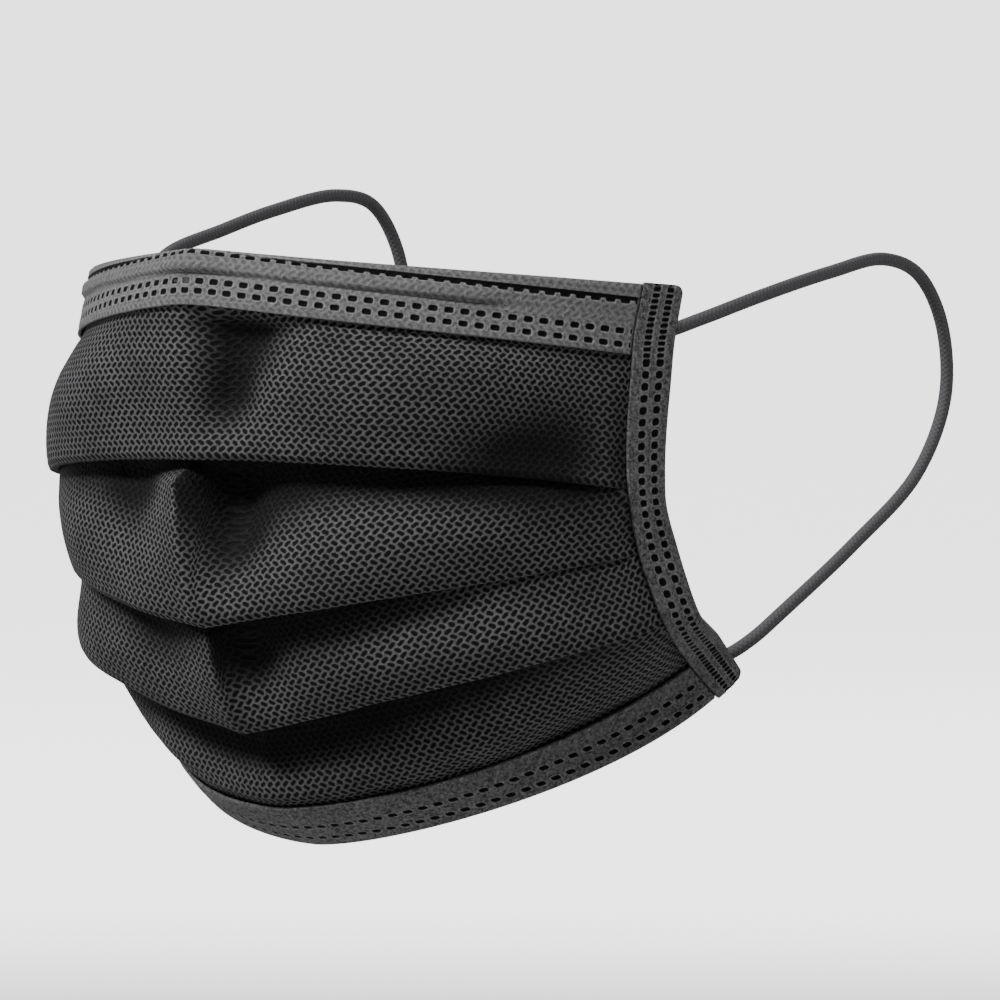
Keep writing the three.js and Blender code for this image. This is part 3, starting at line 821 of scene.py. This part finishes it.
def binding_welds(u, down, total, width):
    """Welds of a side binding: two rows of dots, close-set bars toward both ends."""
    across = u - HALF_WIDTH + width
    ends = np.minimum(down - 13.4, total - 11.3 - down)
    near = np.ones_like(across)
    for share in (0.32, 0.64):
        offset = across - width * share
        dots = dashes(down, offset, 1.95, 1.15, 1.25, 0.4)
        bars = dashes(down, offset, 1.03, 0.62, 1.3, 0.25)
        near = np.minimum(near, np.where(ends > 0, dots, bars))
    return near


class MASK_OT_bindings(bpy.types.Operator):
    """Side bindings folded over the two side edges"""

    bl_idname = "mask.bindings"
    bl_label = "Side bindings"

    def execute(self, context):
        bands, cloth = context.scene.mask_bands, context.scene.mask_cloth
        wall, fit = cloth.wall / MM, cloth.fit / MM
        width = bands.binding_width / MM
        total = float(row_distances(np.array([HALF_WIDTH]))[-1, 0])
        down = np.concatenate([[0, 0.15, 0.4, 0.8], np.linspace(1.3, total - 1.3, 341),
                               total - np.array([0.8, 0.4, 0.15, 0])])
        near_end = np.minimum(down, total - down)
        corner = 1.6 - np.sqrt(1.6 ** 2 - np.maximum(1.6 - near_end, 0) ** 2)
        fold = HALF_WIDTH - wall / 2 - 0.05 - corner
        top, leg = 0.1 - wall / 2, -wall / 2 - 2.7 * (wall + fit)
        share = np.linspace(0, 1, 31)[:, None]
        out = (HALF_WIDTH - width) * (1 - share) + (fold - 0.7) * share
        ones = np.ones_like(down)
        turn = ((0.25, top - 0.12), (0.0, top - 0.7), (0.0, leg + 0.7), (0.25, leg + 0.12))
        a = np.concatenate([out, [fold - k for k, _ in turn], out[::-3]])
        n = np.concatenate([np.full_like(out, top), [b * ones for _, b in turn],
                            np.full_like(out[::-3], leg)])
        near = binding_welds(a, np.broadcast_to(down, a.shape), total, width)
        length = np.concatenate([np.zeros((1, len(down))), np.cumsum(
            np.hypot(np.diff(a, axis=0), np.diff(n, axis=0)), axis=0)])
        both_a, both_n = thicken(a, n, wall, left_in=weld_depth(near))
        mark = np.concatenate([near, np.ones_like(near)])
        material = band_cloth(bands, "fibrous_binding_grey", False)
        for name, node, side in (("binding_left", "side_binding_left", -1),
                                 ("binding_right", "side_binding_right", 1)):
            def to_point(across, out_n, side=side):
                scale = row_distances(across)[-1] / total
                return place(side * across, np.broadcast_to(down, across.shape) * scale, out_n)
            piece = layer_piece(name, both_a, both_n, length, down, to_point, mark)
            dressed(piece, node, "edge_band", material)
        return {"FINISHED"}


class MASK_OT_ear_loops(bpy.types.Operator):
    """Two elastic ear loops, welded inside the corners of the side bindings"""

    bl_idname = "mask.ear_loops"
    bl_label = "Ear loops"

    def execute(self, context):
        loops = context.scene.mask_loops
        radius = loops.diameter / 2 / MM
        material = elastic_knit(loops)
        for name, node, route in (("loop_left", "ear_loop_left", LOOP_LEFT),
                                  ("loop_right", "ear_loop_right", LOOP_RIGHT)):
            path = spline(np.array(route), 20)
            gone = np.concatenate([[0], np.cumsum(np.linalg.norm(np.diff(path, axis=0), axis=1))])
            even = np.linspace(0, gone[-1], int(gone[-1] / 0.7))
            path = np.stack([np.interp(even, gone, path[:, k]) for k in range(3)], axis=1)
            piece = tube(name, path, even, radius, 20)
            dressed(piece, node, "elastic", material)
        return {"FINISHED"}


def tube(name, path, even, radius, sides):
    """Round tube: at each path point a circle square to the path, whose first radius is the
    part of +X that is square to it, closed at both ends by rings that shrink to a point."""
    tangent = unit(np.gradient(path, axis=0))
    first = unit(np.array([1.0, 0, 0]) - tangent * tangent[:, :1])
    second = np.cross(tangent, first)
    angle = 2 * np.pi * np.arange(sides + 1) / sides
    cap = np.array([0.05, 0.5, 0.8])
    size = np.concatenate([cap, np.ones(len(path) - 2), cap[::-1]]) * radius
    keep = np.concatenate([[0, 0, 0], np.arange(1, len(path) - 1), [len(path) - 1] * 3])
    circle = (np.cos(angle)[None, :, None] * first[keep][:, None]
              + np.sin(angle)[None, :, None] * second[keep][:, None])
    points = path[keep][:, None] + circle * size[:, None, None]
    rows, columns = points.shape[:2]
    r, i = np.meshgrid(np.arange(rows - 1), np.arange(columns - 1), indexing="ij")
    a = r * columns + i
    quads = np.stack([a, a + 1, a + columns + 1, a + columns], axis=-1).reshape(-1, 4)
    uv = np.stack(np.broadcast_arrays(angle[None] * radius, even[keep][:, None]), -1)
    piece = mesh_from(name, points.reshape(-1, 3), quads, uv.reshape(-1, 2))
    weld_doubles(piece)
    return piece


def weld_doubles(piece):
    """Joins points that lie on each other, so that a seam is closed."""
    modifier = piece.modifiers.new("seam", "WELD")
    modifier.merge_threshold = 0.00001
    with bpy.context.temp_override(object=piece, active_object=piece):
        bpy.ops.object.modifier_apply(modifier=modifier.name)


class MASK_OT_nose_wire(bpy.types.Operator):
    """Coated strip inside the upper hem, whose solid already has its shape"""

    bl_idname = "mask.nose_wire"
    bl_label = "Nose wire"

    def execute(self, context):
        wire = bpy.data.objects["nose_wire"]
        wire.data.materials.clear()
        wire.data.materials.append(coated_wire())
        return {"FINISHED"}


# ---- camera and studio ---------------------------------------------------------------
class MASK_OT_camera(bpy.types.Operator):
    """Long-lens camera part of the way round to the mask's right"""

    bl_idname = "mask.camera"
    bl_label = "Camera"

    def execute(self, context):
        view = context.scene.mask_stage
        camera = bpy.data.objects.new("camera", bpy.data.cameras.new("camera"))
        context.scene.collection.objects.link(camera)
        context.scene.camera = camera
        back = Vector((
            math.sin(view.azimuth) * math.cos(view.elevation),
            -math.cos(view.azimuth) * math.cos(view.elevation),
            math.sin(view.elevation),
        ))
        camera.location = Vector(view.target) + back * view.distance
        camera.rotation_euler = (-back).to_track_quat("-Z", "Y").to_euler()
        camera.data.sensor_width = 36.0
        camera.data.lens = 36.0 * view.distance / view.view_width
        camera.data.clip_start, camera.data.clip_end = 0.1, 200.0
        return {"FINISHED"}


# Half the side of the floor, the place that the lights face, and each light: name, place and
# side in metres, power in watts.
FLOOR_HALF = 60.0
LIT_PLACE = (0.0, 0.04, -0.05)
LIGHTS = (
    ("key_light", (-0.93, -1.63, 1.6), 0.5, 100),
    ("back_light", (-0.9, 2.1, 1.1), 0.8, 26),
    ("side_light", (1.02, -0.82, 2.0), 0.6, 46),
)


def behind(tree, way):
    """Share of the backdrop's brightness in a direction from the mask: whole behind it and a
    tenth in front, so that the backdrop throws little light on the outer face."""
    level = add(tree, "VectorMath", (way,), operation="NORMALIZE")
    back = add(tree, "VectorMath", (level, (-0.5, 0.87, 0.0)), operation="DOT_PRODUCT")
    return add(tree, "MapRange", (back, -0.1, 0.75, 0.1, 1.0), interpolation_type="SMOOTHSTEP")


def floor_paint(view):
    """Matt wall paint, rolled: even and pale, and lit from within by the backdrop's share
    that grows from 0.3 to 1.1 m away from the mask."""
    material, tree = new_material("rolled_pale_paint")
    at = add(tree, "TexCoord").outputs["Object"]
    flat = add(tree, "VectorMath", (at, (1, 1, 0)), operation="MULTIPLY")
    away = add(tree, "VectorMath", (flat,), operation="LENGTH")
    glow = add(tree, "MapRange", (away, 0.3, 1.1, 0.0, view.backdrop),
               interpolation_type="SMOOTHSTEP")
    end_material(tree, {
        "Base Color": linear("b6b6b6"), "Roughness": 0.9, "Specular IOR Level": 0.2,
        "Emission Color": (1.0, 1.0, 1.0, 1.0),
        "Emission Strength": add(tree, "Math", (glow, behind(tree, flat)), operation="MULTIPLY"),
    })
    return material


def surround_world(view):
    """World that is bright in a band along the horizon and nearly dark above and below it."""
    world = bpy.data.worlds.new("surround")
    world.use_nodes = True
    tree = world.node_tree
    tree.nodes.clear()
    way = add(tree, "TexCoord").outputs["Generated"]
    up = add(tree, "Math", (add(tree, "SeparateXYZ", (way,)).outputs[2],), operation="ABSOLUTE")
    level = add(tree, "MapRange", (up, 0.03, 0.08, view.backdrop, 0.0),
                interpolation_type="SMOOTHSTEP")
    level = add(tree, "Math", (level, behind(tree, way), view.surround),
                operation="MULTIPLY_ADD")
    add(tree, "OutputWorld", {"Surface": add(tree, "Background", {
        "Color": (1.0, 1.0, 1.0, 1.0), "Strength": level})})
    return world


class MASK_OT_stage(bpy.types.Operator):
    """Plain pale floor, soft studio lights and a white surround"""

    bl_idname = "mask.stage"
    bl_label = "Stage"

    def execute(self, context):
        view = context.scene.mask_stage
        low = CAD_BOX[0][2] - view.floor_drop
        mesh = bpy.data.meshes.new("floor")
        mesh.from_pydata([(-FLOOR_HALF, -FLOOR_HALF, low), (FLOOR_HALF, -FLOOR_HALF, low),
                          (FLOOR_HALF, FLOOR_HALF, low), (-FLOOR_HALF, FLOOR_HALF, low)],
                         [], [(0, 1, 2, 3)])
        mesh.materials.append(floor_paint(view))
        floor = bpy.data.objects.new("floor", mesh)
        context.scene.collection.objects.link(floor)
        context.scene.world = surround_world(view)
        for name, place_m, size, power in LIGHTS:
            lamp = bpy.data.lights.new(name, "AREA")
            lamp.size, lamp.energy = size, power
            light = bpy.data.objects.new(name, lamp)
            light.location = place_m
            way = Vector(LIT_PLACE) - light.location
            light.rotation_euler = way.to_track_quat("-Z", "Y").to_euler()
            context.scene.collection.objects.link(light)
        return {"FINISHED"}


class MASK_PT_panel(bpy.types.Panel):
    """Sidebar list of the steps that build the mask"""

    bl_idname = "MASK_PT_panel"
    bl_label = "Pleated face mask"
    bl_space_type = "VIEW_3D"
    bl_region_type = "UI"
    bl_category = "Mask"

    def draw(self, context):
        for step in STEPS:
            self.layout.operator(step.bl_idname)
        for group in ("mask_cloth", "mask_bands", "mask_loops", "mask_stage"):
            settings = getattr(context.scene, group)
            for name in settings.__annotations__:
                self.layout.prop(settings, name)


STEPS = (MASK_OT_camera, MASK_OT_ear_loops, MASK_OT_body, MASK_OT_hems, MASK_OT_bindings,
         MASK_OT_nose_wire, MASK_OT_stage)
GROUPS = (("mask_cloth", MaskCloth), ("mask_bands", MaskBands), ("mask_loops", MaskLoops),
          ("mask_stage", MaskStage))


def register():
    for name, group in GROUPS:
        bpy.utils.register_class(group)
        setattr(bpy.types.Scene, name, bpy.props.PointerProperty(type=group))
    for step in STEPS:
        bpy.utils.register_class(step)
    bpy.utils.register_class(MASK_PT_panel)


def unregister():
    bpy.utils.unregister_class(MASK_PT_panel)
    for step in reversed(STEPS):
        bpy.utils.unregister_class(step)
    for name, group in reversed(GROUPS):
        delattr(bpy.types.Scene, name)
        bpy.utils.unregister_class(group)


def main():
    register()
    bpy.ops.mask.camera()
    bpy.ops.mask.ear_loops()
    bpy.ops.mask.body()
    bpy.ops.mask.hems()
    bpy.ops.mask.bindings()
    bpy.ops.mask.nose_wire()
    bpy.ops.mask.stage()


if __name__ == "__main__":
    main()
